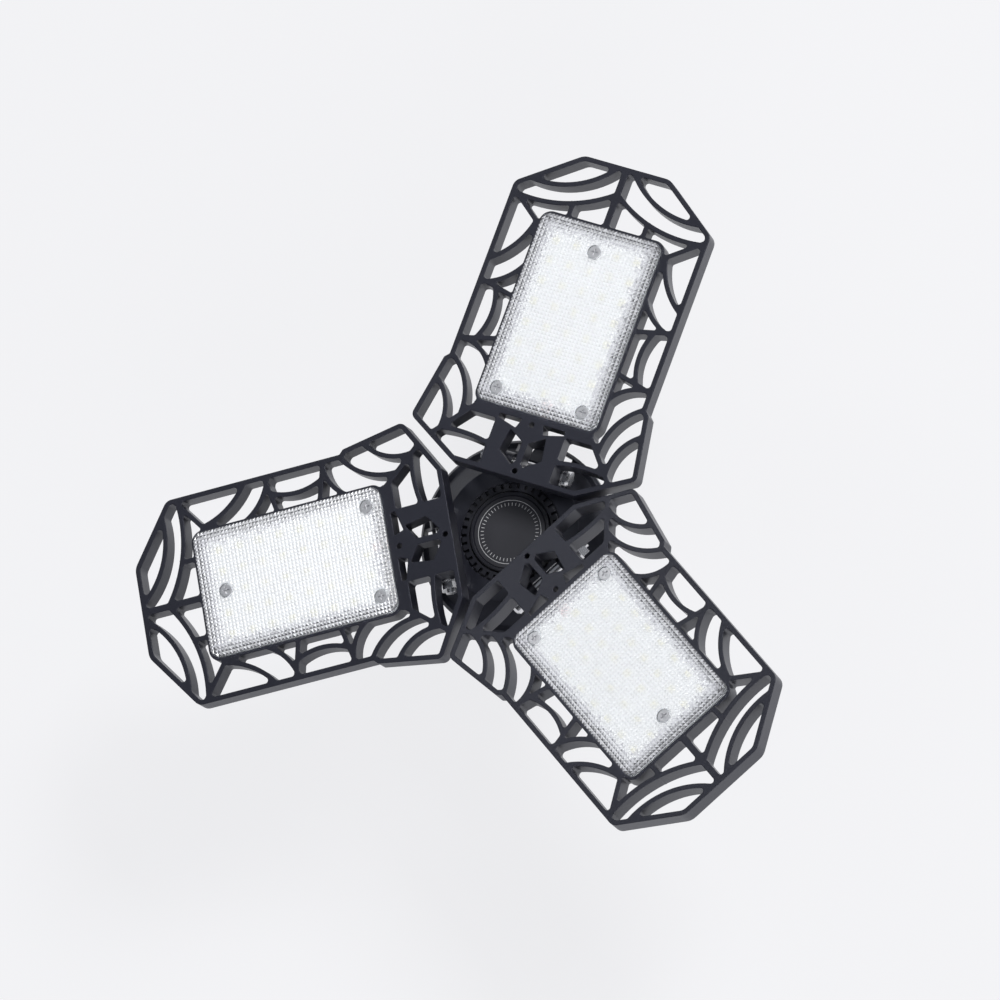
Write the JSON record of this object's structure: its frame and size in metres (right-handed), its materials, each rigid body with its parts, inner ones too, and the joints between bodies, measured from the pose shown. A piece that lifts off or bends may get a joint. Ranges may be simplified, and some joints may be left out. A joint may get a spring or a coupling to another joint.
{
  "type": "deformable garage light",
  "caption": "Ceiling light with three hinged spider-web leaves, each with a clear lens over a lamp board, round a hub with a screw lamp base.",
  "frame": {"origin": "on the light's axis at the outer face of the centre contact of the lamp base", "axes": "+Z along the axis from the lamp base to the lit side; leaf 1 points along +Y"},
  "size_m": [0.268, 0.2453, 0.1125],
  "materials": {
    "black_metal": "satin powder coat on die-cast aluminium",
    "black_plastic": "fine matt moulded",
    "housing_plastic": "fine matt moulded",
    "label": "matt disc with a plain printed ring",
    "contact": "tinned",
    "insulator": "gloss",
    "shell": "bright nickel-plated shell",
    "board_green": "solder mask",
    "board_white": "white solder mask on aluminium",
    "ferrite": "ferrite core with tape",
    "capacitor": "shrink sleeve",
    "led": "white package with yellow phosphor",
    "lens": "clear prismatic plastic",
    "screw": "zinc plated",
    "wire": "insulated lead",
    "bolt": "zinc plated"
  },
  "bodies": {
    "body": {"centre_contact": "contact", "base_insulator": "insulator", "screw_shell": "shell", "neck": "housing_plastic", "heat_sink": "black_metal", "hub": "black_metal", "vent_ring": "black_plastic", "front_cover": "black_plastic", "label_disc": "label", "driver_board": "board_green", "transformer": "ferrite", "capacitors": "capacitor"},
    "leaf_1": {"leaf_frame_1": "black_metal", "led_board_1": "board_white", "led_chips_1": "led", "lens_1": "lens", "lens_screws_1": "screw", "lead_wires_1": "wire", "pivot_bolt_1": "bolt", "pivot_nut_1": "bolt", "pivot_washers_1": "bolt"},
    "leaf_2": {"leaf_frame_2": "black_metal", "led_board_2": "board_white", "led_chips_2": "led", "lens_2": "lens", "lens_screws_2": "screw", "lead_wires_2": "wire", "pivot_bolt_2": "bolt", "pivot_nut_2": "bolt", "pivot_washers_2": "bolt"},
    "leaf_3": {"leaf_frame_3": "black_metal", "led_board_3": "board_white", "led_chips_3": "led", "lens_3": "lens", "lens_screws_3": "screw", "lead_wires_3": "wire", "pivot_bolt_3": "bolt", "pivot_nut_3": "bolt", "pivot_washers_3": "bolt"}
  },
  "joints": [
    {"name": "leaf_hinge_1", "type": "hinge", "parent": "body", "child": "leaf_1", "pos_m": [0, 0.0254, 0.084], "axis": [1, 0, 0], "range_deg": [-59.5, 10]},
    {"name": "leaf_hinge_2", "type": "hinge", "parent": "body", "child": "leaf_2", "pos_m": [-0.022, -0.0127, 0.084], "axis": [-0.5, 0.866, 0], "range_deg": [-58.9, 10.6]},
    {"name": "leaf_hinge_3", "type": "hinge", "parent": "body", "child": "leaf_3", "pos_m": [0.022, -0.0127, 0.084], "axis": [-0.5, -0.866, 0], "range_deg": [-69.5, 0]}
  ]
}
